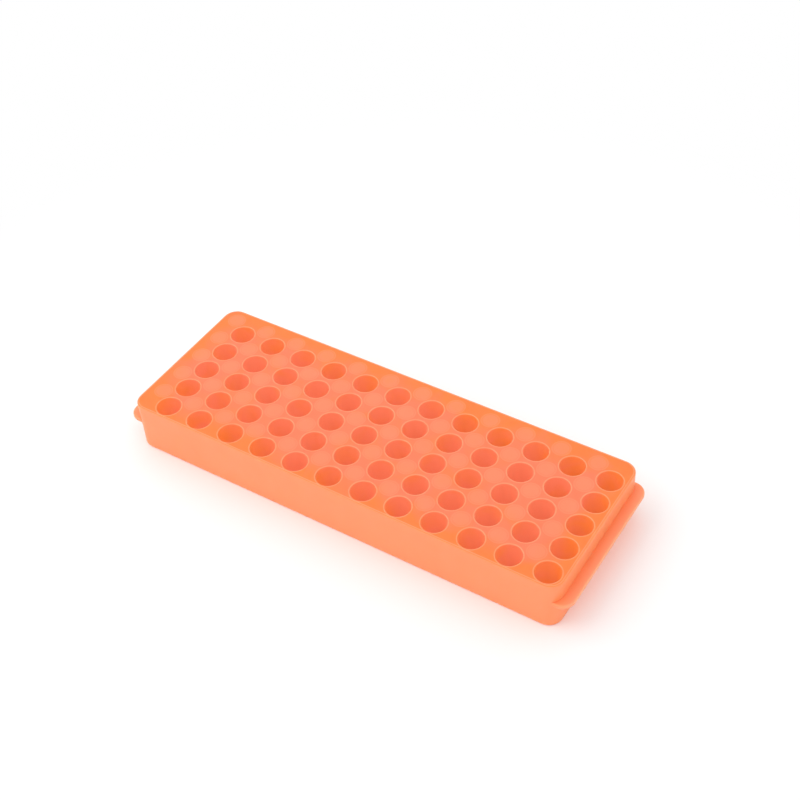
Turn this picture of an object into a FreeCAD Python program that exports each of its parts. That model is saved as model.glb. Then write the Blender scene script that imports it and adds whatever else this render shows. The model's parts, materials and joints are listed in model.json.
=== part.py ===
import FreeCAD, Part
import math
import os

import Sketcher

# Reversible microcentrifuge tube rack, moulded in one piece from translucent polypropylene.
#
# Frame: millimetres, +X along the rack, +Y to its back, +Z up, origin at the centre of the underside.
# The wide wells, for 1.5 and 2.0 ml tubes, open in the deck and stop just above the underside. The
# narrow wells, for 0.5 ml tubes, open in the underside and stop just under the deck: with the rack
# turned over, they are on top. Both end in a shallow dish, which seats a tube's tip. Each narrow well
# stands in the middle of four wide ones, so its grid is half a pitch to the left of theirs and half a
# pitch behind it, and the body's centre lies midway between the two grids. Square cores between the
# wells, open below, keep the walls thin.
# A lip stands out of each end, part of the way down, to lift the rack by.

NODE = "tube_rack"

# How close two coordinates are when they count as the same, in mm.
SAME = 1e-6

SIZES = [
    ("columns", 12, "wide wells along the rack"),
    ("rows", 5, "wide wells across the rack"),
    ("rack_height", 25.0, "underside to deck"),
    ("tube_bore", 11.2, "diameter of a wide well"),
    ("column_web", 6.3, "plastic between two wide wells along the rack"),
    ("row_web", 2.8, "plastic between two wide wells across the rack"),
    ("small_bore", 8.0, "diameter of a narrow well"),
    ("side_wall", 1.4, "plastic outside the wells at the front and the back"),
    ("end_wall", 2.1, "plastic outside the wells at the two ends"),
    ("well_floor", 1.5, "plastic under the middle of a wide well"),
    ("well_dish", 0.5, "how much deeper a well is in its middle than at its wall"),
    ("deck_thickness", 1.5, "plastic over the middle of a narrow well, and over a core"),
    ("core_wall", 1.4, "plastic between a core and a well"),
    ("core_corner", 0.8, "corner radius of a core"),
    ("body_corner", 6.5, "corner radius of the body seen from above"),
    ("edge_round", 0.8, "rounding of the deck's and the underside's outer edge"),
    ("lip_reach", 5.0, "how far a lip stands out of its end"),
    ("lip_drop", 9.6, "deck down to the top of a lip"),
    ("lip_thickness", 2.2, "thickness of a lip"),
    ("lip_inset", 0.8, "how far a lip stays inside the body's front and back"),
    ("lip_corner", 6.0, "corner radius of a lip seen from above"),
    ("lip_round", 0.7, "rounding of a lip's outer edges"),
]

# Sizes that several features share, worked out from the sheet.
COLUMN_PITCH = "(Sizes.tube_bore + Sizes.column_web)"
ROW_PITCH = "(Sizes.tube_bore + Sizes.row_web)"
BODY_LENGTH = f"(Sizes.tube_bore + 2 * Sizes.end_wall + (Sizes.columns - 0.5) * {COLUMN_PITCH})"
BODY_WIDTH = f"(Sizes.tube_bore + 2 * Sizes.side_wall + (Sizes.rows - 0.5) * {ROW_PITCH})"

# The wells repeat along the rack and across it: axis, count and pitch.
ALONG = ("X_Axis", "Sizes.columns", COLUMN_PITCH)
ACROSS = ("Y_Axis", "Sizes.rows", ROW_PITCH)

# Axis of the front left well of each grid.
WIDE_X = f"(-(Sizes.columns - 1) / 2 + 1 / 4) * {COLUMN_PITCH}"
WIDE_Y = f"(-(Sizes.rows - 1) / 2 - 1 / 4) * {ROW_PITCH}"
NARROW_X = f"(-(Sizes.columns - 1) / 2 - 1 / 4) * {COLUMN_PITCH}"
NARROW_Y = f"(-(Sizes.rows - 1) / 2 + 1 / 4) * {ROW_PITCH}"

# A core fits between four wells: two wide ones at its sides, two narrow ones in front and behind.
CORE_LENGTH = "(Sizes.column_web - 2 * Sizes.core_wall)"
CORE_WIDTH = f"({ROW_PITCH} - Sizes.small_bore - 2 * Sizes.core_wall)"

# A corner of a core takes up no more than this share of the core's shorter side.
CORNER_SHARE = 0.4

# The narrow wells and the cores stop under the deck.
UNDER_DECK = "Sizes.rack_height - Sizes.deck_thickness"

LIP_TOP = "(Sizes.rack_height - Sizes.lip_drop)"
LIP_FOOT = f"({LIP_TOP} - Sizes.lip_thickness)"


def fill_sheet(doc):
    """The driving dimensions: name, value and meaning in one row each."""
    sheet = doc.addObject("Spreadsheet::Sheet", "Sizes")
    for row, (alias, value, meaning) in enumerate(SIZES, start=1):
        sheet.set(f"A{row}", alias)
        sheet.set(f"B{row}", str(value))
        sheet.setAlias(f"B{row}", alias)
        sheet.set(f"C{row}", meaning)
    doc.recompute()
    return sheet


def origin_feature(body, role):
    """One of the body's own origin planes or axes."""
    return next(feature for feature in body.Origin.OriginFeatures if feature.Role == role)


def new_sketch(body, name, plane, offset):
    """A sketch on an origin plane, moved in that plane's own x, y and z by the offset's expressions."""
    sketch = body.newObject("Sketcher::SketchObject", name)
    sketch.AttachmentSupport = [(origin_feature(body, plane), "")]
    sketch.MapMode = "FlatFace"
    for axis, expression in offset.items():
        sketch.setExpression(f".AttachmentOffset.Base.{axis}", expression)
    return sketch


def bind(sketch, constraint, name, expression):
    """Add a dimension to the sketch and tie it to the sheet."""
    sketch.renameConstraint(sketch.addConstraint(constraint), name)
    sketch.setExpression(f"Constraints.{name}", expression)


def rounded_rectangle(sketch, length, width, radius):
    """A rectangle about the sketch's origin, with four equal round corners."""
    x, y, r = (float(sketch.evalExpression(e)) for e in (f"{length} / 2", f"{width} / 2", radius))
    ends = [
        ((r - x, -y), (x - r, -y)),
        ((x, r - y), (x, y - r)),
        ((x - r, y), (r - x, y)),
        ((-x, y - r), (-x, r - y)),
    ]
    centres = [(x - r, r - y), (x - r, y - r), (r - x, y - r), (r - x, r - y)]
    up = FreeCAD.Vector(0, 0, 1)
    quarter = math.pi / 2
    sides = [
        sketch.addGeometry(Part.LineSegment(FreeCAD.Vector(*a, 0), FreeCAD.Vector(*b, 0))) for a, b in ends
    ]
    corners = [
        sketch.addGeometry(
            Part.ArcOfCircle(Part.Circle(FreeCAD.Vector(*c, 0), up, r), (k - 1) * quarter, k * quarter)
        )
        for k, c in enumerate(centres)
    ]
    for k in range(4):
        following = sides[(k + 1) % 4]
        sketch.addConstraint(Sketcher.Constraint("Tangent", sides[k], 2, corners[k], 1))
        sketch.addConstraint(Sketcher.Constraint("Tangent", corners[k], 2, following, 1))
        sketch.addConstraint(Sketcher.Constraint("Vertical" if k % 2 else "Horizontal", sides[k]))
    for corner in corners[1:]:
        sketch.addConstraint(Sketcher.Constraint("Equal", corners[0], corner))
    sketch.addConstraint(Sketcher.Constraint("Symmetric", corners[0], 3, corners[2], 3, -1, 1))
    bind(sketch, Sketcher.Constraint("DistanceX", sides[3], 1, sides[1], 1, 2 * x), "length", length)
    bind(sketch, Sketcher.Constraint("DistanceY", sides[0], 1, sides[2], 1, 2 * y), "width", width)
    bind(sketch, Sketcher.Constraint("Radius", corners[0], r), "radius", radius)


def half_section(sketch, points):
    """A closed outline to turn about the sketch's upright axis, from (radius, height) expressions.

    A radius of None is a point on the axis, and a height of None is one at the foot of the axis.
    """
    places = [
        FreeCAD.Vector(*(float(sketch.evalExpression(e)) if e else 0.0 for e in point), 0)
        for point in points
    ]
    lines = [
        sketch.addGeometry(Part.LineSegment(a, b)) for a, b in zip(places, places[1:] + places[:1])
    ]
    for k, (line, (radius, height)) in enumerate(zip(lines, points)):
        sketch.addConstraint(Sketcher.Constraint("Coincident", lines[k - 1], 2, line, 1))
        if radius is None:
            sketch.addConstraint(Sketcher.Constraint("PointOnObject", line, 1, -2))
        else:
            distance = Sketcher.Constraint("DistanceX", -1, 1, line, 1, places[k].x)
            bind(sketch, distance, f"radius_{k}", radius)
        if height is None:
            sketch.addConstraint(Sketcher.Constraint("PointOnObject", line, 1, -1))
        else:
            distance = Sketcher.Constraint("DistanceY", -1, 1, line, 1, places[k].y)
            bind(sketch, distance, f"height_{k}", height)


def slab(body, name, length, width, radius, height, foot=None):
    """A pad with a rounded rectangle's plan, standing on the underside or on a given height."""
    sketch = new_sketch(body, f"{name}_plan", "XY_Plane", {"z": foot} if foot else {})
    rounded_rectangle(sketch, length, width, radius)
    pad = body.newObject("PartDesign::Pad", name)
    pad.Profile = sketch
    pad.setExpression("Length", height)
    body.Document.recompute()
    return pad


def round_edges(body, name, heights, radius, beyond=0.0):
    """Round the level edges at the given heights that reach further than beyond, to the left or right."""
    base = body.Tip
    chosen = []
    for number, edge in enumerate(base.Shape.Edges, start=1):
        box = edge.BoundBox
        level = any(abs(box.ZMin - z) < SAME and abs(box.ZMax - z) < SAME for z in heights)
        if level and max(-box.XMin, box.XMax) > beyond + SAME:
            chosen.append(f"Edge{number}")
    fillet = body.newObject("PartDesign::Fillet", name)
    fillet.Base = (base, chosen)
    fillet.setExpression("Radius", radius)
    body.Document.recompute()
    return fillet


def array(body, feature, runs):
    """Repeat a feature along one or two axes, each given as (axis, count, pitch)."""
    pattern = body.newObject("PartDesign::LinearPattern", f"{feature.Name}_array")
    pattern.Originals = [feature]
    pattern.Refine = False
    for suffix, (axis, count, pitch) in zip(("", "2"), runs):
        setattr(pattern, f"Direction{suffix}", (origin_feature(body, axis), [""]))
        setattr(pattern, f"Mode{suffix}", "Extent")
        pattern.setExpression(f"Length{suffix}", f"({count} - 1) * {pitch}")
        pattern.setExpression(f"Occurrences{suffix}", count)
    body.Tip = pattern
    body.Document.recompute()
    return pattern


def cores(body, name, x, y, length, width, runs):
    """Square pockets that go up from the underside to the deck."""
    sketch = new_sketch(body, f"{name}_plan", "XY_Plane", {"x": x, "y": y})
    largest = f"{CORNER_SHARE} * {length}; {CORNER_SHARE} * {width}"
    rounded_rectangle(sketch, length, width, f"min(Sizes.core_corner; {largest})")
    pocket = body.newObject("PartDesign::Pocket", name)
    pocket.Profile = sketch
    pocket.Reversed = True
    pocket.Refine = False
    pocket.setExpression("Length", UNDER_DECK)
    body.Document.recompute()
    return array(body, pocket, runs)


def turned_wells(body, name, x, y, section):
    """Round wells: a section of (radius, height) points, turned out of the body about an upright axis."""
    sketch = new_sketch(body, f"{name}_section", "XZ_Plane", {"x": x, "z": f"-({y})"})
    half_section(sketch, section)
    groove = body.newObject("PartDesign::Groove", name)
    groove.Profile = sketch
    groove.ReferenceAxis = (sketch, ["V_Axis"])
    groove.Angle = 360
    groove.Refine = False
    body.Document.recompute()
    return array(body, groove, [ALONG, ACROSS])


def wide_wells(body):
    """Wells down from the deck, each with its end just above the underside."""
    end, wall, deck = "Sizes.well_floor", "Sizes.tube_bore / 2", "Sizes.rack_height"
    section = [(None, end), (wall, f"{end} + Sizes.well_dish"), (wall, deck), (None, deck)]
    return turned_wells(body, "wide_well", WIDE_X, WIDE_Y, section)


def narrow_wells(body):
    """Wells up from the underside, each with its end just under the deck."""
    end, wall = UNDER_DECK, "Sizes.small_bore / 2"
    section = [(None, None), (wall, None), (wall, f"{end} - Sizes.well_dish"), (None, end)]
    return turned_wells(body, "narrow_well", NARROW_X, NARROW_Y, section)


def make_rack(doc):
    """The whole moulding, as one body."""
    body = doc.addObject("PartDesign::Body", NODE)
    body.Label = NODE
    body.Placement = FreeCAD.Placement()

    slab(body, "block", BODY_LENGTH, BODY_WIDTH, "Sizes.body_corner", "Sizes.rack_height")
    height = float(body.evalExpression("Sizes.rack_height"))
    round_edges(body, "outer_edges", (0, height), "Sizes.edge_round")

    slab(
        body,
        "end_lips",
        f"({BODY_LENGTH} + 2 * Sizes.lip_reach)",
        f"({BODY_WIDTH} - 2 * Sizes.lip_inset)",
        "Sizes.lip_corner",
        "Sizes.lip_thickness",
        LIP_FOOT,
    )
    foot, top, end = (float(body.evalExpression(e)) for e in (LIP_FOOT, LIP_TOP, f"{BODY_LENGTH} / 2"))
    round_edges(body, "lip_edges", (foot, top), "Sizes.lip_round", beyond=end)

    # Behind the last row a core lies between a wide well and the back wall.
    cores(
        body,
        "back_core",
        WIDE_X,
        f"{BODY_WIDTH} / 2 - Sizes.side_wall - ({ROW_PITCH} / 2 - Sizes.core_wall) / 2",
        f"({COLUMN_PITCH} - Sizes.small_bore - 2 * Sizes.core_wall)",
        f"({ROW_PITCH} / 2 - Sizes.core_wall)",
        [ALONG],
    )
    # In the first column a core runs on to the end wall, and in the front row to the front wall.
    cores(
        body,
        "end_core",
        f"{NARROW_X} - (Sizes.tube_bore - {CORE_LENGTH}) / 4",
        WIDE_Y,
        f"((Sizes.tube_bore + {CORE_LENGTH}) / 2)",
        CORE_WIDTH,
        [ACROSS],
    )
    cores(
        body,
        "front_core",
        NARROW_X,
        f"{WIDE_Y} - (Sizes.tube_bore - {CORE_WIDTH}) / 4",
        CORE_LENGTH,
        f"((Sizes.tube_bore + {CORE_WIDTH}) / 2)",
        [ALONG],
    )
    cores(body, "web_core", NARROW_X, WIDE_Y, CORE_LENGTH, CORE_WIDTH, [ALONG, ACROSS])

    wide_wells(body)
    narrow_wells(body)
    return body


def check(doc, bodies):
    """Stop where a feature failed or a solid isn't sound."""
    for item in doc.Objects:
        if "Invalid" in item.State or "Error" in item.State:
            raise RuntimeError(f"{item.Label}: {item.State}")
    for body in bodies:
        if body.Shape.isNull() or not body.Shape.isValid():
            raise RuntimeError(f"{body.Label} has no valid shape")
        if len(body.Shape.Solids) != 1:
            raise RuntimeError(f"{body.Label} has {len(body.Shape.Solids)} solids")


def main():
    doc = FreeCAD.newDocument(NODE)
    fill_sheet(doc)
    rack = make_rack(doc)
    doc.recompute()
    check(doc, [rack])
    os.makedirs("parts", exist_ok=True)
    rack.Shape.exportStep(f"parts/{rack.Label}.step")
    box = rack.Shape.optimalBoundingBox()
    print(f"{rack.Label}: {box.XLength:.2f} x {box.YLength:.2f} x {box.ZLength:.2f} mm")
    print(f"volume {rack.Shape.Volume / 1000:.2f} cm3, {len(rack.Shape.Faces)} faces")


main()
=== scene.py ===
"""The finished look of a reversible microcentrifuge tube rack, with its floor, lamps and camera.

Metres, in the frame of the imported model: +X along the rack, +Y to its back, +Z up, and the origin at
the centre of the underside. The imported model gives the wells' bores and depths and the size of the
whole rack.
"""

import json
import math

import bmesh
import bpy
from mathutils import Matrix, Vector


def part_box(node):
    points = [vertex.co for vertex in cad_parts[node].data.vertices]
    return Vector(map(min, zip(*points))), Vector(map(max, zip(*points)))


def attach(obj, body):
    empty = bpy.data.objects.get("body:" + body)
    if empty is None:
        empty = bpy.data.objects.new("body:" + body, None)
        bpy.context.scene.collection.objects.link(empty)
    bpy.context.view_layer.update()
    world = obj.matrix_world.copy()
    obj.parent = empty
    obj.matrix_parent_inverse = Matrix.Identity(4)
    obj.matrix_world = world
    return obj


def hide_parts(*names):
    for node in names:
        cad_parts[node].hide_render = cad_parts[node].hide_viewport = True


bl_info = {
    "name": "Microcentrifuge tube rack",
    "version": (1, 0, 0),
    "blender": (4, 5, 0),
    "location": "3D View > Sidebar > Tube rack",
    "description": "Builds the rack's moulding, its plastic, and the floor, lamps and camera around it",
    "category": "Object",
}

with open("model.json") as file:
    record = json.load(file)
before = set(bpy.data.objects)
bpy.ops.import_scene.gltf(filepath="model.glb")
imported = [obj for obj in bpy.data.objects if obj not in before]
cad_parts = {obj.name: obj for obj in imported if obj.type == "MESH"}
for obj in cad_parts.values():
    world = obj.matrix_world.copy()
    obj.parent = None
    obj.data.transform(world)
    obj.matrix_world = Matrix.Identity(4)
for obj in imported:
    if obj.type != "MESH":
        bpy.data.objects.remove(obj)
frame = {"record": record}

MM = 0.001
# Corners that are closer than this count as one.
SPECK = 0.003 * MM
# Too little to see. It keeps the floor off the underside, and a mask's border off the face that it ends at.
HAIR = 0.05 * MM
# How far a cutter stands out of the face that it cuts.
BEYOND = 1.0 * MM
# Straight pieces in a rounded edge, in a quarter turn of the body's plan, and round a core's corner.
EDGE_STEPS, PLAN_STEPS, CORE_STEPS = 5, 20, 3
# Sides of a wide and of a narrow well.
WIDE_SIDES, NARROW_SIDES = 48, 40
# Faces that meet at more than this keep a sharp edge between them.
SHARPEST = math.radians(35)
NODE = "tube_rack"
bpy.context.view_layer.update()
LOW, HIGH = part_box(NODE)

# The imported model's mounts state the wells, and those of a kind are alike, so one gives their size.
MOUNTS = {mount["name"]: mount for mount in frame["record"]["mounts"]}
WIDE = MOUNTS["wide_well_A1"]["dims"]
NARROW = MOUNTS["narrow_well_A1"]["dims"]


# ------------------------------------------------------------------------------------------------
# Settings


def length(name, description, metres):
    """A length that a user may change."""
    return bpy.props.FloatProperty(
        name=name, description=description, default=metres, min=0.0, precision=5, unit="LENGTH"
    )


def share(name, description, value):
    """A number from 0 to 1 that a user may change."""
    return bpy.props.FloatProperty(
        name=name, description=description, default=value, min=0.0, max=1.0, subtype="FACTOR"
    )


def linear(hex_code):
    """An sRGB hex colour as linear red, green and blue."""
    channels = [int(hex_code[k : k + 2], 16) / 255 for k in (1, 3, 5)]
    return tuple(c / 12.92 if c <= 0.04045 else ((c + 0.055) / 1.055) ** 2.4 for c in channels)


def colour(name, description, hex_code):
    """A colour that a user may change, given as sRGB hex."""
    return bpy.props.FloatVectorProperty(
        name=name,
        description=description,
        default=linear(hex_code),
        min=0.0,
        max=1.0,
        size=3,
        subtype="COLOR",
    )


class RackSizes(bpy.types.PropertyGroup):
    """Sizes of the moulding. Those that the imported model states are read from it."""

    columns: bpy.props.IntProperty(
        name="Columns", description="Wide wells along the rack", default=12, min=1
    )
    rows: bpy.props.IntProperty(
        name="Rows", description="Wide wells across the rack", default=5, min=1
    )
    pitch_x: length("Column pitch", "Distance between two columns of wells", 17.5 * MM)
    pitch_y: length("Row pitch", "Distance between two rows of wells", 14.0 * MM)
    height: length("Height", "Underside to deck", HIGH.z - LOW.z)
    wide_radius: length("Wide radius", "Radius of a wide well", WIDE["r_mm"] * MM)
    wide_depth: length(
        "Wide depth", "Deck to the foot of a wide well's wall", WIDE["length_mm"] * MM
    )
    dish: length("Dish", "How much deeper a well is in its middle than at its wall", 0.5 * MM)
    narrow_radius: length("Narrow radius", "Radius of a narrow well", NARROW["r_mm"] * MM)
    narrow_depth: length(
        "Narrow depth", "Underside to the end of a narrow well's wall", NARROW["length_mm"] * MM
    )
    deck: length("Deck", "Plastic over the middle of a narrow well, and over a core", 1.5 * MM)
    core_wall: length("Core wall", "Plastic between a core and a well", 1.4 * MM)
    core_corner: length("Core corner", "Corner radius of a core", 0.8 * MM)
    side_wall: length("Side wall", "Plastic outside the wells at the front and the back", 1.4 * MM)
    mouth_round: length("Mouth rounding", "Rounding of a well's mouth", 0.35 * MM)
    floor_round: length("Floor rounding", "Rounding between a well's wall and its floor", 1.0 * MM)
    body_corner: length("Body corner", "Corner radius of the body seen from above", 6.5 * MM)
    edge_round: length(
        "Edge rounding", "Rounding of the deck's and the underside's outer edge", 0.8 * MM
    )
    lip_reach: length("Lip reach", "How far a lip stands out of its end", 5.0 * MM)
    lip_drop: length("Lip drop", "Deck down to the top of a lip", 9.6 * MM)
    lip_thickness: length("Lip thickness", "Thickness of a lip", 2.2 * MM)
    lip_inset: length("Lip inset", "How far a lip stays inside the body's front and back", 0.8 * MM)
    lip_corner: length("Lip corner", "Corner radius of a lip seen from above", 6.0 * MM)
    lip_round: length("Lip rounding", "Rounding of a lip's edges", 0.7 * MM)


class RackPlastic(bpy.types.PropertyGroup):
    """Colours and finish of the plastic."""

    # Painted light: the margin colour and the middle colour below stand in for light that enters at the
    # body's sides and wanders inside the plastic.
    margin: colour("Margin", "Colour of the deck's margin", "#FF7E32")
    scatter_middle: colour(
        "Thick deck", "Colour of the deck between the wells, where most light wanders", "#FF7C54"
    )
    # Painted glow: the pale discs over the narrow wells and under the wide ones stand in for light shining
    # through the thin skin.
    thin: colour("Thin deck", "Colour of the deck over a narrow well, where it is thinnest", "#FF9068")
    # Painted light: the outer walls and the lips are painted paler than the deck's resin, to make up for the
    # light that upright faces get less of.
    walls: colour("Outer walls", "Colour of the outer walls and the lips", "#FF9460")
    # Painted light: the edge colour is painted highlight on the deck's edge and the mouths, and painted glow
    # on the disc lines and the lips.
    edge: colour(
        "Edges", "Colour of the deck's edge and the wells' rims, where light gathers", "#FFA47C"
    )
    # Painted glow: the between colour is a white wall that only bounced light meets, so that the wells glow.
    between: colour(
        "Between walls", "Colour of a hollow's walls for light that comes from its other walls", "#FFFFFF"
    )
    margin_width: length("Margin width", "How far in the clear margin of the deck reaches", 17.0 * MM)
    cloud: length("Clouds", "Width of the clouds, the distance that melt flows between two pins", 18.0 * MM)
    roughness: share("Roughness", "Roughness of the moulded skin", 0.38)
    milkiness: share("Milkiness", "Share of the light that wanders inside the plastic", 0.7)
    glow: length("Glow", "How far red light wanders inside the plastic", 2.5 * MM)


class RackStage(bpy.types.PropertyGroup):
    """Where the camera stands, and how bright the lamps and the room are."""

    azimuth: bpy.props.FloatProperty(
        name="Azimuth",
        description="How far the camera stands round to the right of the rack's front",
        default=math.radians(34.616),
        subtype="ANGLE",
    )
    elevation: bpy.props.FloatProperty(
        name="Elevation",
        description="How high the camera stands above the level of what it aims at",
        default=math.radians(43.916),
        subtype="ANGLE",
    )
    roll: bpy.props.FloatProperty(
        name="Roll",
        description="How far the camera is turned about its own line of sight",
        default=math.radians(-3.833),
        subtype="ANGLE",
    )
    distance: length("Distance", "From the camera to the point that it aims at", 0.6255)
    aim: bpy.props.FloatVectorProperty(
        name="Aim",
        description="The point that the camera aims at",
        default=(-0.00976, 0.03371, 0.0125),
        size=3,
        subtype="TRANSLATION",
    )
    lens: bpy.props.FloatProperty(
        name="Lens",
        description="Focal length for a sensor 36 mm wide",
        default=60.77,
        min=1.0,
        unit="CAMERA",
    )
    key: bpy.props.FloatProperty(
        name="Key", description="Power of the wide lamp overhead", default=2.5, min=0.0, unit="POWER"
    )
    lamp_place: bpy.props.FloatVectorProperty(
        name="Lamp place",
        description="Where the lamp hangs, turned to the middle of the underside",
        default=(-0.55, -0.3, 0.85),
        size=3,
        subtype="TRANSLATION",
    )
    lamp_width: length("Lamp width", "Longer side of the lamp", 0.9)
    lamp_depth: length("Lamp depth", "Shorter side of the lamp", 0.6)
    room: bpy.props.FloatProperty(
        name="Room", description="Brightness of the white room", default=1.04, min=0.0
    )
    table: length("Table", "Half the width of the table top", 3.0)
    fade_start: length("Fade start", "Where the table top starts to fade into the white room", 0.13)
    fade_end: length("Fade end", "Where nothing but the white room is left to see", 0.3)


# ------------------------------------------------------------------------------------------------
# Helpers


def add(tree, kind, inputs=None, **settings):
    """Add a node with its settings. An input that is a socket is linked, and any other is a value."""
    node = tree.nodes.new(kind)
    for name, value in settings.items():
        setattr(node, name, value)
    for key, value in (inputs or {}).items():
        if isinstance(value, bpy.types.NodeSocket):
            tree.links.new(value, node.inputs[key])
        else:
            node.inputs[key].default_value = value
    return node


def finished(obj):
    """Turn what the object's modifiers make into its own plain mesh."""
    graph = bpy.context.evaluated_depsgraph_get()
    mesh = bpy.data.meshes.new_from_object(obj.evaluated_get(graph), depsgraph=graph)
    obj.modifiers.clear()
    obj.data = mesh
    return obj


def rounded_slab(name, half_x, half_y, corner, low, high, edge):
    """A flat slab with round corners in plan and rounded upper and lower edges."""
    turns = [k * math.pi / 2 / EDGE_STEPS for k in range(EDGE_STEPS + 1)]
    levels = [(edge * (1 - math.sin(t)), low + edge * (1 - math.cos(t))) for t in turns]
    levels += [(edge * (1 - math.cos(t)), high - edge * (1 - math.sin(t))) for t in turns]

    mesh = bmesh.new()
    rings = []
    for inset, z in levels:
        radius = corner - inset
        ring = []
        for quarter, (sx, sy) in enumerate([(1, -1), (1, 1), (-1, 1), (-1, -1)]):
            centre = Vector((sx * (half_x - corner), sy * (half_y - corner), z))
            for k in range(PLAN_STEPS + 1):
                turn = (quarter - 1 + k / PLAN_STEPS) * math.pi / 2
                arm = radius * Vector((math.cos(turn), math.sin(turn), 0))
                ring.append(mesh.verts.new(centre + arm))
        rings.append(ring)
    for lower, upper in zip(rings, rings[1:]):
        for k in range(len(lower)):
            following = (k + 1) % len(lower)
            mesh.faces.new((lower[k], lower[following], upper[following], upper[k]))
    mesh.faces.new(reversed(rings[0]))
    mesh.faces.new(rings[-1])

    data = bpy.data.meshes.new(name)
    mesh.to_mesh(data)
    mesh.free()
    slab = bpy.data.objects.new(name, data)
    bpy.context.collection.objects.link(slab)
    return slab


# ------------------------------------------------------------------------------------------------
# Geometry Nodes: rows and columns of round wells and square cores

GRID = [
    ("Columns", "NodeSocketInt"),
    ("Rows", "NodeSocketInt"),
    ("Pitch X", "NodeSocketFloat"),
    ("Pitch Y", "NodeSocketFloat"),
    ("First", "NodeSocketVector"),
    ("Turn", "NodeSocketVector"),
    ("Depth", "NodeSocketFloat"),
    ("Beyond", "NodeSocketFloat"),
    ("Steps", "NodeSocketInt"),
    ("Material", "NodeSocketMaterial"),
]


def cutting_tree(name, sockets):
    """A tree from geometry to geometry with the grid's inputs and its own, and the sockets that give them."""
    tree = bpy.data.node_groups.new(name, "GeometryNodeTree")
    tree.interface.new_socket("Geometry", in_out="INPUT", socket_type="NodeSocketGeometry")
    tree.interface.new_socket("Geometry", in_out="OUTPUT", socket_type="NodeSocketGeometry")
    for label, kind in GRID + sockets:
        tree.interface.new_socket(label, in_out="INPUT", socket_type=kind)
    return tree, add(tree, "NodeGroupInput").outputs


def cut_on_grid(tree, given, cutter):
    """Cut a copy of the cutter out of the geometry at each place of the grid."""
    places = add(tree, "ShaderNodeMath", {0: given["Columns"], 1: given["Rows"]}, operation="MULTIPLY")
    points = add(tree, "GeometryNodePoints", {"Count": places.outputs[0]})
    index = add(tree, "GeometryNodeInputIndex")
    count = {0: index.outputs[0], 1: given["Columns"]}
    across = add(tree, "FunctionNodeIntegerMath", count, operation="DIVIDE_FLOOR")
    along = add(tree, "FunctionNodeIntegerMath", count, operation="MODULO")
    step = add(tree, "ShaderNodeCombineXYZ", {"X": along.outputs[0], "Y": across.outputs[0]})
    pitch = add(tree, "ShaderNodeCombineXYZ", {"X": given["Pitch X"], "Y": given["Pitch Y"]})
    place = add(
        tree,
        "ShaderNodeVectorMath",
        {0: step.outputs[0], 1: pitch.outputs[0], 2: given["First"]},
        operation="MULTIPLY_ADD",
    )
    placed = add(
        tree, "GeometryNodeSetPosition", {"Geometry": points.outputs[0], "Position": place.outputs[0]}
    )
    copies = add(
        tree,
        "GeometryNodeInstanceOnPoints",
        {"Points": placed.outputs[0], "Instance": cutter, "Rotation": given["Turn"]},
    )
    cutters = add(tree, "GeometryNodeRealizeInstances", {"Geometry": copies.outputs[0]})
    cut = add(
        tree,
        "GeometryNodeMeshBoolean",
        {"Mesh 1": given["Geometry"], "Mesh 2": cutters.outputs[0]},
        operation="DIFFERENCE",
        solver="MANIFOLD",
    )
    clean = add(
        tree, "GeometryNodeMergeByDistance", {"Geometry": cut.outputs["Mesh"], "Distance": SPECK}
    )
    whole = add(tree, "GeometryNodeRealizeInstances", {"Geometry": clean.outputs[0]})
    skin = add(
        tree, "GeometryNodeSetMaterial", {"Geometry": whole.outputs[0], "Material": given["Material"]}
    )
    add(tree, "NodeGroupOutput", {0: skin.outputs[0]})
    return tree


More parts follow.
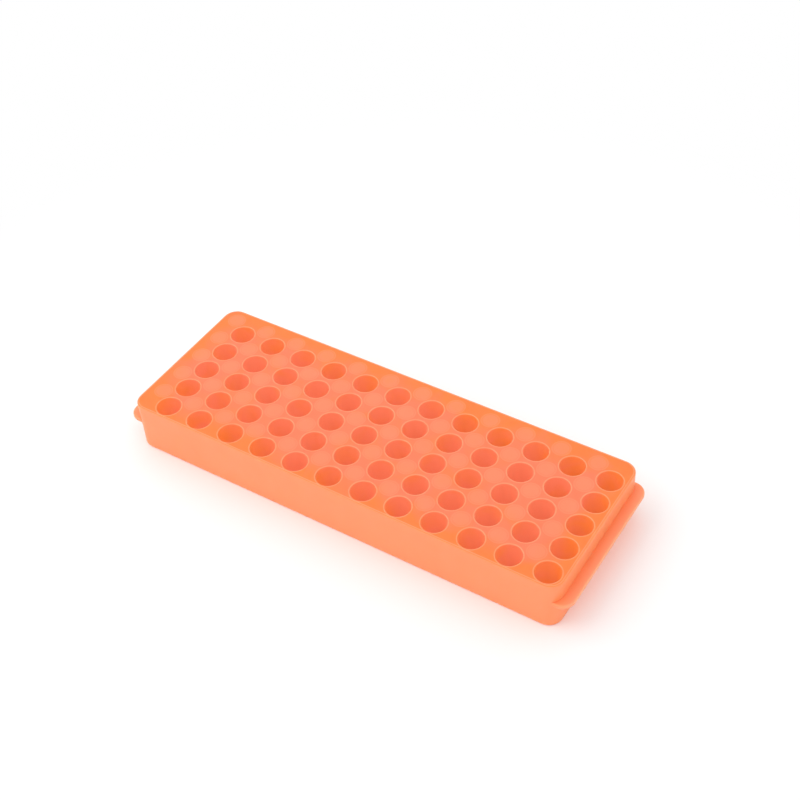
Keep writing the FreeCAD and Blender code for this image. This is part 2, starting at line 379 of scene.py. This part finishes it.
def round_wells():
    """Wells turned about an axis: a dished floor, a rounded foot, a straight wall and a rounded mouth."""
    tree, given = cutting_tree(
        "Round wells",
        [
            ("Radius", "NodeSocketFloat"),
            ("Dish", "NodeSocketFloat"),
            ("Foot rounding", "NodeSocketFloat"),
            ("Mouth rounding", "NodeSocketFloat"),
        ],
    )
    # Half of the well's section, drawn from its wall: +X is outwards, +Y is down and the mouth is at 0.
    axis = add(tree, "ShaderNodeMath", {0: given["Radius"], 1: -1.0}, operation="MULTIPLY")
    above = add(tree, "ShaderNodeMath", {0: given["Beyond"], 1: -1.0}, operation="MULTIPLY")
    lowest = add(tree, "ShaderNodeMath", {0: given["Depth"], 1: given["Dish"]}, operation="ADD")
    corners = [
        add(tree, "ShaderNodeCombineXYZ", {"X": x, "Y": y}).outputs[0]
        for x, y in [
            (axis.outputs[0], above.outputs[0]),
            (given["Mouth rounding"], above.outputs[0]),
            (given["Mouth rounding"], 0.0),
            (0.0, 0.0),
            (0.0, given["Depth"]),
            (axis.outputs[0], lowest.outputs[0]),
        ]
    ]
    index = add(tree, "GeometryNodeInputIndex")
    corner = add(tree, "GeometryNodeIndexSwitch", {0: index.outputs[0]}, data_type="VECTOR")
    rounding = add(tree, "GeometryNodeIndexSwitch", {0: index.outputs[0]}, data_type="FLOAT")
    for switch in (corner, rounding):
        while len(switch.index_switch_items) < len(corners):
            switch.index_switch_items.new()
    for k, spot in enumerate(corners):
        tree.links.new(spot, corner.inputs[k + 1])
    # Only the corners at the mouth and at the foot are rounded. The first input of a switch is its index.
    tree.links.new(given["Mouth rounding"], rounding.inputs[3 + 1])
    tree.links.new(given["Foot rounding"], rounding.inputs[4 + 1])

    line = add(tree, "GeometryNodeMeshLine", {"Count": len(corners)})
    section = add(tree, "GeometryNodeMeshToCurve", {"Mesh": line.outputs[0]})
    drawn = add(
        tree, "GeometryNodeSetPosition", {"Geometry": section.outputs[0], "Position": corner.outputs[0]}
    )
    rounded = add(
        tree,
        "GeometryNodeFilletCurve",
        {"Curve": drawn.outputs[0], "Count": EDGE_STEPS, "Radius": rounding.outputs[0]},
        mode="POLY",
    )
    rim = add(
        tree,
        "GeometryNodeCurvePrimitiveCircle",
        {"Resolution": given["Steps"], "Radius": given["Radius"]},
        mode="RADIUS",
    )
    level = add(tree, "GeometryNodeSetCurveNormal", {"Curve": rim.outputs[0]}, mode="Z_UP")
    turned = add(
        tree, "GeometryNodeCurveToMesh", {"Curve": level.outputs[0], "Profile Curve": rounded.outputs[0]}
    )
    well = add(
        tree, "GeometryNodeMergeByDistance", {"Geometry": turned.outputs[0], "Distance": SPECK}
    )
    return cut_on_grid(tree, given, well.outputs[0])


def square_cores():
    """Square pockets with round corners."""
    tree, given = cutting_tree(
        "Square cores",
        [("Length", "NodeSocketFloat"), ("Width", "NodeSocketFloat"), ("Corner", "NodeSocketFloat")],
    )
    plan = add(
        tree,
        "GeometryNodeCurvePrimitiveQuadrilateral",
        {"Width": given["Length"], "Height": given["Width"]},
    )
    rounded = add(
        tree,
        "GeometryNodeFilletCurve",
        {
            "Curve": plan.outputs[0],
            "Count": given["Steps"],
            "Radius": given["Corner"],
            "Limit Radius": True,
        },
        mode="POLY",
    )
    foot = add(tree, "ShaderNodeMath", {0: given["Depth"], 1: -1.0}, operation="MULTIPLY")
    start = add(tree, "ShaderNodeCombineXYZ", {"Z": foot.outputs[0]})
    end = add(tree, "ShaderNodeCombineXYZ", {"Z": given["Beyond"]})
    path = add(tree, "GeometryNodeCurvePrimitiveLine", {"Start": start.outputs[0], "End": end.outputs[0]})
    prism = add(
        tree,
        "GeometryNodeCurveToMesh",
        {"Curve": path.outputs[0], "Profile Curve": rounded.outputs[0], "Fill Caps": True},
    )
    return cut_on_grid(tree, given, prism.outputs[0])


def cut(obj, name, tree, values):
    """Put a cutting tree on the object, with its inputs given by their names."""
    modifier = obj.modifiers.new(name, "NODES")
    modifier.node_group = tree
    for item in tree.interface.items_tree:
        if item.in_out == "INPUT" and item.name in values:
            modifier[item.identifier] = values[item.name]


# ------------------------------------------------------------------------------------------------
# Plastic


def polypropylene(sizes, plastic):
    """Moulded polypropylene, translucent orange.

    The resin is milky and takes little pigment, so light wanders several millimetres inside it. Subsurface
    scattering carries part of that, and the rest is painted light in the colour: glowing edges, thin walls
    and rims, a salmon middle of the deck, and wells that glow nearly as bright as the deck.
    The mould's fine blasting leaves a satin skin, and the melt leaves faint clouds where it flowed round
    the pins.
    """
    material = bpy.data.materials.new("moulded polypropylene, translucent orange")
    material.use_nodes = True
    tree = material.node_tree
    tree.nodes.clear()
    spot = add(tree, "ShaderNodeTexCoord").outputs["Object"]
    height = add(tree, "ShaderNodeSeparateXYZ", {0: spot}).outputs["Z"]

    # Depth of a level's own colour, width of a painted glow disc's soft border, and how strong the discs are.
    level_depth, disc_edge, disc_glow_strength = 0.3 * MM, 1.0 * MM, 0.55
    # Half the width of the painted glow line round a disc, how far outside the well's wall it lies, and its
    # strength.
    joint_line, joint_out, joint_glow_strength = 0.3 * MM, 0.1 * MM, 0.25
    # Half the width of the painted highlight lines round the mouths and the border, and their strength.
    rim_line, glint_strength = 0.25 * MM, 0.5

    def from_axis(first):
        """How far a point is, in plan, from a grid's nearest well, and more than that beyond the grid."""
        pitch = Vector((sizes.pitch_x, sizes.pitch_y, 1.0))
        patch = Vector((sizes.columns * sizes.pitch_x, sizes.rows * sizes.pitch_y, 1.0))
        corner = first - pitch / 2
        local = add(tree, "ShaderNodeVectorMath", {0: spot, 1: corner}, operation="SUBTRACT")
        near = add(tree, "ShaderNodeVectorMath", {0: local.outputs[0], 1: pitch}, operation="MODULO")
        arm = add(tree, "ShaderNodeVectorMath", {0: near.outputs[0], 1: pitch / 2}, operation="SUBTRACT")
        plan = add(tree, "ShaderNodeVectorMath", {0: arm.outputs[0], 1: (1, 1, 0)}, operation="MULTIPLY")
        reach = add(tree, "ShaderNodeVectorMath", {0: plan.outputs[0]}, operation="LENGTH")
        low = add(tree, "ShaderNodeVectorMath", {0: local.outputs[0], 1: (0, 0, 0)}, operation="MAXIMUM")
        held = add(tree, "ShaderNodeVectorMath", {0: low.outputs[0], 1: patch}, operation="MINIMUM")
        beyond = add(
            tree, "ShaderNodeVectorMath", {0: local.outputs[0], 1: held.outputs[0]}, operation="DISTANCE"
        )
        off = add(
            tree,
            "ShaderNodeMath",
            {0: reach.outputs["Value"], 1: beyond.outputs["Value"]},
            operation="ADD",
        )
        return off.outputs[0]

    def paler(resin, off, radius, shown):
        """The resin's colour, with painted glow: pale discs where light shines through the thin skin over the
        ends of wells.
        """
        disc = add(
            tree,
            "ShaderNodeMapRange",
            {
                "Value": off,
                "From Min": radius + joint_out,
                "From Max": radius + joint_out - disc_edge,
                "To Max": disc_glow_strength,
            },
            interpolation_type="SMOOTHSTEP",
        )
        shade = add(tree, "ShaderNodeMath", {0: disc.outputs[0], 1: shown}, operation="MULTIPLY")
        discs = add(
            tree,
            "ShaderNodeMix",
            {0: shade.outputs[0], 6: resin, 7: (*plastic.thin, 1.0)},
            data_type="RGBA",
        )
        return discs.outputs[2]

    # The deck is a thin skin over each narrow well, painted paler there for light shining through, with a
    # painted bright line where the wall joins it, and the underside is a thin skin under each wide one,
    # painted paler the same way. Their colours end a little way down the rounded edges.
    deck = add(
        tree,
        "ShaderNodeMapRange",
        {"Value": height, "From Min": sizes.height - level_depth, "From Max": sizes.height - HAIR},
    )
    underside = add(
        tree, "ShaderNodeMapRange", {"Value": height, "From Min": level_depth, "From Max": HAIR}
    )
    off_wide, off_narrow = from_axis(first_wide(sizes)), from_axis(first_narrow(sizes))
    line = add(
        tree,
        "ShaderNodeMath",
        {0: off_narrow, 1: sizes.narrow_radius + joint_out, 2: joint_line},
        operation="COMPARE",
    )

    clouds = add(
        tree,
        "ShaderNodeTexNoise",
        {
            "Vector": spot,
            "Scale": 1 / plastic.cloud,
            "Detail": 3.0,
            "Roughness": 0.55,
            "Distortion": 0.6,
        },
    )

    def inwards(corner):
        """How far inside the body's outer wall a point is, in plan, up to the radius given to its corners."""
        half_x, half_y = (HIGH.x - LOW.x) / 2 - sizes.lip_reach, (HIGH.y - LOW.y) / 2
        core = Vector((half_x - corner, half_y - corner, 1.0))
        mirrored = add(tree, "ShaderNodeVectorMath", {0: spot}, operation="ABSOLUTE")
        past = add(tree, "ShaderNodeVectorMath", {0: mirrored.outputs[0], 1: core}, operation="SUBTRACT")
        arm = add(tree, "ShaderNodeVectorMath", {0: past.outputs[0], 1: (0, 0, 0)}, operation="MAXIMUM")
        reach = add(tree, "ShaderNodeVectorMath", {0: arm.outputs[0]}, operation="LENGTH")
        inside = add(
            tree, "ShaderNodeMath", {0: corner, 1: reach.outputs["Value"]}, operation="SUBTRACT"
        )
        return inside.outputs[0]

    # Painted light: the deck's margins are painted clearer and its middle salmon, for light that enters at
    # the body's sides.
    middle = add(
        tree,
        "ShaderNodeMapRange",
        {
            "Value": inwards(plastic.margin_width),
            "From Min": 1.0 * MM,
            "From Max": plastic.margin_width,
        },
        interpolation_type="SMOOTHSTEP",
    )
    # Most of the noise lies between these.
    least, most = 0.3, 0.7
    cloudy = add(
        tree,
        "ShaderNodeMapRange",
        {
            "Value": clouds.outputs[0],
            "From Min": least,
            "From Max": most,
            "To Min": -0.5,
            "To Max": 0.5,
        },
    )
    scatter_and_cloud_share = add(
        tree,
        "ShaderNodeMath",
        {0: middle.outputs[0], 1: cloudy.outputs[0]},
        operation="ADD",
        use_clamp=True,
    )
    resin = add(
        tree,
        "ShaderNodeMix",
        {0: scatter_and_cloud_share.outputs[0], 6: (*plastic.margin, 1.0), 7: (*plastic.scatter_middle, 1.0)},
        data_type="RGBA",
    )
    discs = paler(resin.outputs[2], off_narrow, sizes.narrow_radius, deck.outputs[0])
    discs = paler(discs, off_wide, sizes.wide_radius, underside.outputs[0])
    level = add(tree, "ShaderNodeMath", {0: deck.outputs[0], 1: underside.outputs[0]}, operation="MAXIMUM")
    # Painted light: away from the deck and the underside, the outer walls and the lips take the walls'
    # colour, painted paler than the resin.
    body = add(
        tree,
        "ShaderNodeMix",
        {0: level.outputs[0], 6: (*plastic.walls, 1.0), 7: discs},
        data_type="RGBA",
    )

    # Painted light: thin pale lines of painted highlight lie where light gathers in the deck's outer edge and
    # in the rims of the wells, and a painted glow makes a lip paler towards its own edge.
    rim = add(
        tree,
        "ShaderNodeMath",
        {0: off_wide, 1: sizes.wide_radius + sizes.mouth_round, 2: rim_line},
        operation="COMPARE",
    )
    inside = inwards(sizes.body_corner)
    border = add(
        tree, "ShaderNodeMath", {0: inside, 1: sizes.edge_round, 2: rim_line}, operation="COMPARE"
    )
    # Painted glow: a lip turns paler towards its own edge, for light that shines through the thin plastic.
    lip = add(
        tree,
        "ShaderNodeMapRange",
        {"Value": inside, "From Min": -0.5 * MM, "From Max": -sizes.lip_reach, "To Max": 0.8},
    )
    lines = add(tree, "ShaderNodeMath", {0: rim.outputs[0], 1: border.outputs[0]}, operation="MAXIMUM")
    lines = add(tree, "ShaderNodeMath", {0: lines.outputs[0], 1: glint_strength}, operation="MULTIPLY")
    lines = add(
        tree,
        "ShaderNodeMath",
        {0: line.outputs[0], 1: joint_glow_strength, 2: lines.outputs[0]},
        operation="MULTIPLY_ADD",
    )
    painted_glint_share = add(
        tree,
        "ShaderNodeMath",
        {0: lines.outputs[0], 1: deck.outputs[0], 2: lip.outputs[0]},
        operation="MULTIPLY_ADD",
    )
    with_painted_glints = add(
        tree,
        "ShaderNodeMix",
        {0: painted_glint_share.outputs[0], 6: body.outputs[2], 7: (*plastic.edge, 1.0)},
        data_type="RGBA",
    )

    # The walls of the wells and the cores have the resin's own colour. Wide wells open in the deck, and the
    # rest in the underside.
    in_well = add(
        tree, "ShaderNodeMath", {0: off_wide, 1: sizes.wide_radius + HAIR}, operation="LESS_THAN"
    )
    skin_deep = sizes.deck / 2
    behind_walls = add(
        tree, "ShaderNodeMath", {0: inside, 1: sizes.side_wall / 2}, operation="GREATER_THAN"
    )
    under_deck = add(
        tree, "ShaderNodeMath", {0: height, 1: sizes.height - skin_deep}, operation="LESS_THAN"
    )
    over_foot = add(tree, "ShaderNodeMath", {0: height, 1: skin_deep}, operation="GREATER_THAN")
    from_below = add(
        tree,
        "ShaderNodeMath",
        {0: behind_walls.outputs[0], 1: under_deck.outputs[0]},
        operation="MULTIPLY",
    )
    hollow = add(
        tree,
        "ShaderNodeMath",
        {0: in_well.outputs[0], 1: from_below.outputs[0]},
        operation="MAXIMUM",
    )
    hollow = add(
        tree,
        "ShaderNodeMath",
        {0: hollow.outputs[0], 1: over_foot.outputs[0]},
        operation="MULTIPLY",
    )
    skinned = add(
        tree,
        "ShaderNodeMix",
        {0: hollow.outputs[0], 6: with_painted_glints.outputs[2], 7: resin.outputs[2]},
        data_type="RGBA",
    )
    # Painted glow: light that goes from wall to wall inside a hollow meets a painted white wall here,
    # standing in for light that comes in through the milky walls, so that the wells glow.
    scattered = add(tree, "ShaderNodeLightPath").outputs["Is Diffuse Ray"]
    bounce_glow = add(
        tree, "ShaderNodeMath", {0: hollow.outputs[0], 1: scattered}, operation="MULTIPLY"
    )
    base = add(
        tree,
        "ShaderNodeMix",
        {0: bounce_glow.outputs[0], 6: skinned.outputs[2], 7: (*plastic.between, 1.0)},
        data_type="RGBA",
    )

    # The blasted mould leaves a grain about 0.3 mm across, drawn at 0.6 mm so that it shows, and shrinking
    # leaves waves about 7 mm long.
    grain_width, wave_length = 0.6 * MM, 7 * MM
    grain = add(tree, "ShaderNodeTexNoise", {"Vector": spot, "Scale": 1 / grain_width, "Detail": 2.0})
    waves = add(tree, "ShaderNodeTexNoise", {"Vector": spot, "Scale": 1 / wave_length, "Detail": 1.0})
    fine = add(
        tree,
        "ShaderNodeBump",
        {"Height": grain.outputs[0], "Strength": 0.15, "Distance": 0.02 * MM},
    )
    skin = add(
        tree,
        "ShaderNodeBump",
        {"Height": waves.outputs[0], "Strength": 0.3, "Distance": 0.25 * MM, "Normal": fine.outputs[0]},
    )
    sheen = add(
        tree,
        "ShaderNodeMapRange",
        {
            "Value": clouds.outputs[0],
            "From Min": least,
            "From Max": most,
            "To Min": plastic.roughness - 0.05,
            "To Max": plastic.roughness + 0.07,
        },
    )
    # Light is shared evenly inside a well, so only the outside shows that it wanders.
    wander = add(
        tree,
        "ShaderNodeMapRange",
        {"Value": hollow.outputs[0], "To Min": plastic.milkiness, "To Max": 0.0},
    )
    shader = add(
        tree,
        "ShaderNodeBsdfPrincipled",
        {
            "Base Color": base.outputs[2],
            "Roughness": sheen.outputs[0],
            "IOR": 1.49,
            "Normal": skin.outputs[0],
            "Subsurface Weight": wander.outputs[0],
            "Subsurface Radius": (1.0, 0.75, 0.6),
            "Subsurface Scale": plastic.glow,
        },
        subsurface_method="RANDOM_WALK",
    )
    add(tree, "ShaderNodeOutputMaterial", {"Surface": shader.outputs[0]})
    return material


# ------------------------------------------------------------------------------------------------
# Where things are


def first_wide(sizes):
    """Foot of the axis of the wide well nearest the front left corner.

    The two grids lie half a pitch apart, so each is a quarter of a pitch off centre.
    """
    middle = (LOW + HIGH) / 2
    x = middle.x - ((sizes.columns - 1) / 2 - 1 / 4) * sizes.pitch_x
    y = middle.y - ((sizes.rows - 1) / 2 + 1 / 4) * sizes.pitch_y
    return Vector((x, y, LOW.z))


def first_narrow(sizes):
    """Foot of the axis of the narrow well nearest the front left corner, half a pitch left of the wide one's
    and half a pitch behind it.
    """
    return first_wide(sizes) + Vector((-sizes.pitch_x, sizes.pitch_y, 0)) / 2


class RACK_OT_moulding(bpy.types.Operator):
    """Build the rack's one moulding: the body with its end lips, wells and cores."""

    bl_idname = "tube_rack.moulding"
    bl_label = "Moulding"

    def execute(self, context):
        sizes = context.scene.rack_sizes
        half_x = (HIGH.x - LOW.x) / 2 - sizes.lip_reach
        half_y = (HIGH.y - LOW.y) / 2
        rack = rounded_slab(
            "rack_moulding",
            half_x,
            half_y,
            sizes.body_corner,
            LOW.z,
            LOW.z + sizes.height,
            sizes.edge_round,
        )
        lip_top = LOW.z + sizes.height - sizes.lip_drop
        lips = rounded_slab(
            "end_lips",
            half_x + sizes.lip_reach,
            half_y - sizes.lip_inset,
            sizes.lip_corner,
            lip_top - sizes.lip_thickness,
            lip_top,
            sizes.lip_round,
        )
        joined = rack.modifiers.new("End lips", "BOOLEAN")
        joined.object = lips
        joined.operation = "UNION"
        joined.solver = "MANIFOLD"
        finished(rack)
        bpy.data.objects.remove(lips)

        wide, narrow = first_wide(sizes), first_narrow(sizes)
        deck = Vector((0, 0, sizes.height))
        under_deck = sizes.height - sizes.deck
        up, down = (0.0, 0.0, 0.0), (math.pi, 0.0, 0.0)
        grid = {
            "Columns": sizes.columns,
            "Rows": sizes.rows,
            "Pitch X": sizes.pitch_x,
            "Pitch Y": sizes.pitch_y,
            "Beyond": BEYOND,
            "Dish": sizes.dish,
            "Material": polypropylene(sizes, context.scene.rack_plastic),
        }
        wells = round_wells()
        cut(
            rack,
            "Wide wells",
            wells,
            grid
            | {
                "First": wide + deck,
                "Turn": up,
                "Depth": sizes.wide_depth,
                "Steps": WIDE_SIDES,
                "Radius": sizes.wide_radius,
                "Foot rounding": sizes.floor_round,
                "Mouth rounding": sizes.mouth_round,
            },
        )
        cut(
            rack,
            "Narrow wells",
            wells,
            grid
            | {
                "First": narrow,
                "Turn": down,
                "Depth": sizes.narrow_depth,
                "Steps": NARROW_SIDES,
                "Radius": sizes.narrow_radius,
                "Foot rounding": sizes.mouth_round,
                "Mouth rounding": sizes.mouth_round,
            },
        )

        # A core fills each gap: two wide wells beside it, two narrow ones in front and behind.
        core_x = sizes.pitch_x - 2 * sizes.wide_radius - 2 * sizes.core_wall
        core_y = sizes.pitch_y - 2 * sizes.narrow_radius - 2 * sizes.core_wall
        long_x = sizes.wide_radius + core_x / 2
        long_y = sizes.wide_radius + core_y / 2
        back_x = sizes.pitch_x - 2 * sizes.narrow_radius - 2 * sizes.core_wall
        back_y = sizes.pitch_y / 2 - sizes.core_wall
        web = Vector((narrow.x, wide.y, LOW.z))
        cores = {
            "Web cores": (web, core_x, core_y, sizes.columns, sizes.rows),
            # These run on to the left-hand wall and to the front one.
            "End cores": (web - Vector(((long_x - core_x) / 2, 0, 0)), long_x, core_y, 1, sizes.rows),
            "Front cores": (web - Vector((0, (long_y - core_y) / 2, 0)), core_x, long_y, sizes.columns, 1),
            # These lie between the last row of wide wells and the back wall.
            "Back cores": (
                Vector((wide.x, half_y - sizes.side_wall - back_y / 2, LOW.z)),
                back_x,
                back_y,
                sizes.columns,
                1,
            ),
        }
        pockets = square_cores()
        for name, (first, along, across, columns, rows) in cores.items():
            cut(
                rack,
                name,
                pockets,
                grid
                | {
                    "First": first,
                    "Turn": down,
                    "Depth": under_deck,
                    "Steps": CORE_STEPS,
                    "Length": along,
                    "Width": across,
                    "Corner": sizes.core_corner,
                    "Columns": columns,
                    "Rows": rows,
                },
            )
        finished(rack)
        smooth(rack)
        if not closed(rack):
            raise RuntimeError("the moulding isn't closed")
        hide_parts(NODE)
        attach(rack, "root")
        return {"FINISHED"}


def smooth(obj):
    """Shade rounded edges as curves and keep flat faces flat."""
    obj.data.shade_smooth()
    obj.data.set_sharp_from_angle(angle=SHARPEST)
    weighted = obj.modifiers.new("Flat faces stay flat", "WEIGHTED_NORMAL")
    weighted.keep_sharp = True
    weighted.weight = 100
    finished(obj)


def closed(obj):
    """Whether each edge joins two faces, and the faces point outwards."""
    mesh = bmesh.new()
    mesh.from_mesh(obj.data)
    whole = all(edge.is_manifold for edge in mesh.edges) and mesh.calc_volume(signed=True) > 0
    mesh.free()
    return whole


# ------------------------------------------------------------------------------------------------
# Floor, lamps and camera


def seen_straight(tree):
    """1 for what the camera sees, itself or in a reflection or through something clear, and 0 for light."""
    rays = add(tree, "ShaderNodeLightPath").outputs
    mirrored = add(
        tree, "ShaderNodeMath", {0: rays["Is Camera Ray"], 1: rays["Is Glossy Ray"]}, operation="ADD"
    )
    seen = add(
        tree,
        "ShaderNodeMath",
        {0: mirrored.outputs[0], 1: rays["Is Transmission Ray"]},
        operation="ADD",
        use_clamp=True,
    )
    return seen.outputs[0]


class RACK_OT_stage(bpy.types.Operator):
    """Set a pale floor under the rack, soft lamps and a white room round it, and the camera."""

    bl_idname = "tube_rack.stage"
    bl_label = "Stage"

    def execute(self, context):
        stage = context.scene.rack_stage
        context.scene.view_settings.view_transform = "Standard"
        # Light goes many times from wall to wall in a deep well before it comes out again.
        bounces = 64
        context.scene.cycles.max_bounces = bounces
        context.scene.cycles.diffuse_bounces = bounces
        self.floor(context, stage)
        self.room(context, stage)
        self.lamps(context, stage)
        self.camera(context, stage)
        return {"FINISHED"}

    def floor(self, context, stage):
        """A white table top that takes the rack's shadow and fades into the white room."""
        mesh = bmesh.new()
        bmesh.ops.create_grid(mesh, x_segments=1, y_segments=1, size=stage.table)
        data = bpy.data.meshes.new("table_top")
        mesh.to_mesh(data)
        mesh.free()
        # A hair under the rack, so that the two don't share a plane.
        data.transform(Matrix.Translation((0, 0, LOW.z - HAIR)))
        floor = bpy.data.objects.new("table_top", data)
        context.collection.objects.link(floor)

        # White laminate: matt, and so bright under the lamps that only the shadow shows.
        material = bpy.data.materials.new("white laminate, matt")
        material.use_nodes = True
        tree = material.node_tree
        tree.nodes.clear()
        spot = add(tree, "ShaderNodeTexCoord").outputs["Object"]
        away = add(tree, "ShaderNodeVectorMath", {0: spot}, operation="LENGTH")
        fade = add(
            tree,
            "ShaderNodeMapRange",
            {
                "Value": away.outputs["Value"],
                "From Min": stage.fade_start,
                "From Max": stage.fade_end,
            },
            interpolation_type="SMOOTHSTEP",
        )
        faded = add(
            tree, "ShaderNodeMath", {0: seen_straight(tree), 1: fade.outputs[0]}, operation="MULTIPLY"
        )
        matt = add(
            tree,
            "ShaderNodeBsdfPrincipled",
            {"Base Color": (*linear("#F7F7F7"), 1.0), "Roughness": 0.6, "IOR": 1.45},
        )
        white = add(tree, "ShaderNodeEmission", {"Color": (1.0, 1.0, 1.0, 1.0), "Strength": 1.0})
        mixed = add(
            tree,
            "ShaderNodeMixShader",
            {0: faded.outputs[0], 1: matt.outputs[0], 2: white.outputs[0]},
        )
        add(tree, "ShaderNodeOutputMaterial", {"Surface": mixed.outputs[0]})
        data.materials.append(material)

    def room(self, context, stage):
        """A white room that lights the rack plainly from all sides."""
        world = bpy.data.worlds.new("white room")
        world.use_nodes = True
        tree = world.node_tree
        tree.nodes.clear()
        strength = add(
            tree, "ShaderNodeMapRange", {"Value": seen_straight(tree), "To Min": stage.room, "To Max": 1.0}
        )
        air = add(
            tree,
            "ShaderNodeBackground",
            {"Color": (1.0, 1.0, 1.0, 1.0), "Strength": strength.outputs[0]},
        )
        add(tree, "ShaderNodeOutputWorld", {"Surface": air.outputs[0]})
        context.scene.world = world

    def lamps(self, context, stage):
        """One wide soft lamp overhead, a little in front of the rack and to its left."""
        lamp = bpy.data.lights.new("softbox", "AREA")
        lamp.shape = "RECTANGLE"
        lamp.size, lamp.size_y = stage.lamp_width, stage.lamp_depth
        lamp.energy = stage.key
        key = bpy.data.objects.new("softbox", lamp)
        key.location = stage.lamp_place
        key.rotation_euler = (-key.location).to_track_quat("-Z", "Y").to_euler()
        context.collection.objects.link(key)

    def camera(self, context, stage):
        """The camera, in front of the rack and above it, to the right."""
        data = bpy.data.cameras.new("camera")
        data.sensor_width = 36.0
        data.lens = stage.lens
        data.clip_start, data.clip_end = 0.01, 20.0
        camera = bpy.data.objects.new("camera", data)
        turn = (
            Matrix.Rotation(stage.azimuth, 4, "Z")
            @ Matrix.Rotation(math.pi / 2 - stage.elevation, 4, "X")
            @ Matrix.Rotation(stage.roll, 4, "Z")
        )
        back = turn @ Vector((0, 0, stage.distance))
        camera.matrix_world = Matrix.Translation(Vector(stage.aim) + back) @ turn
        context.collection.objects.link(camera)
        context.scene.camera = camera


class RACK_PT_panel(bpy.types.Panel):
    """The rack's settings and the steps that build it."""

    bl_idname = "RACK_PT_panel"
    bl_label = "Tube rack"
    bl_space_type = "VIEW_3D"
    bl_region_type = "UI"
    bl_category = "Tube rack"

    def draw(self, context):
        for operator, settings in (
            (RACK_OT_moulding, (context.scene.rack_sizes, context.scene.rack_plastic)),
            (RACK_OT_stage, (context.scene.rack_stage,)),
        ):
            box = self.layout.box()
            box.operator(operator.bl_idname)
            for group in settings:
                for name in group.__annotations__:
                    box.prop(group, name)


GROUPS = {"rack_sizes": RackSizes, "rack_plastic": RackPlastic, "rack_stage": RackStage}
CLASSES = [*GROUPS.values(), RACK_OT_moulding, RACK_OT_stage, RACK_PT_panel]


def register():
    """Add the classes, and the settings to each scene."""
    for cls in CLASSES:
        bpy.utils.register_class(cls)
    for name, group in GROUPS.items():
        setattr(bpy.types.Scene, name, bpy.props.PointerProperty(type=group))


def unregister():
    """Take the settings and the classes away again."""
    for name in GROUPS:
        delattr(bpy.types.Scene, name)
    for cls in reversed(CLASSES):
        bpy.utils.unregister_class(cls)


def main():
    """Build the rack and its stage."""
    register()
    bpy.ops.tube_rack.moulding()
    bpy.ops.tube_rack.stage()


if __name__ == "__main__":
    main()
